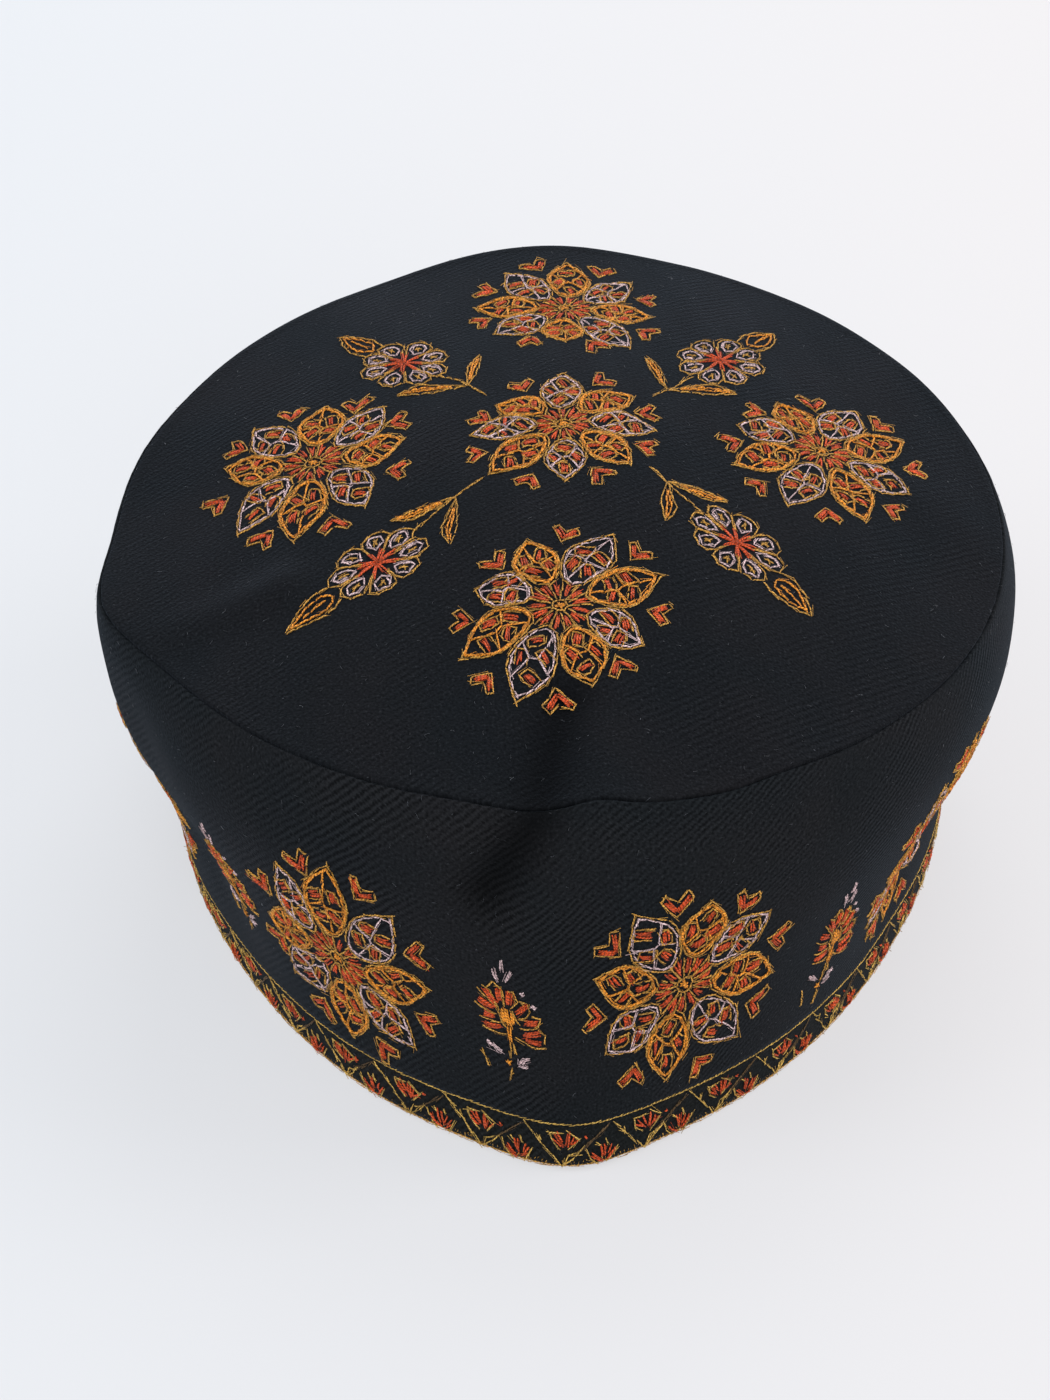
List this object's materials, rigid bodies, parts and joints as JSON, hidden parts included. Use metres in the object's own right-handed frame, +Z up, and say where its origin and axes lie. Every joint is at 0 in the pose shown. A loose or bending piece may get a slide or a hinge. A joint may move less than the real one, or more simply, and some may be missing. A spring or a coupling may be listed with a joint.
{
  "type": "embroidered cap",
  "caption": "Soft round cap of black wool twill with a domed crown, an upright side band and a doubled border strip at the rim, embroidered with rosettes and sprigs.",
  "frame": {"origin": "middle of the bounding box, on the plane that the rim rests on", "axes": "+Z up through the crown, the front of the cap (its storage crease) at -Y, the wearer's left at +X"},
  "size_m": [0.1829, 0.1987, 0.089],
  "materials": {
    "crown_wool": "matt black wool twill",
    "band_wool": "matt black wool twill",
    "border_wool": "matt black wool with gold and red thread"
  },
  "bodies": {
    "root": {"crown_top": "crown_wool", "side_band": "band_wool", "rim_border": "border_wool"}
  },
  "joints": []
}
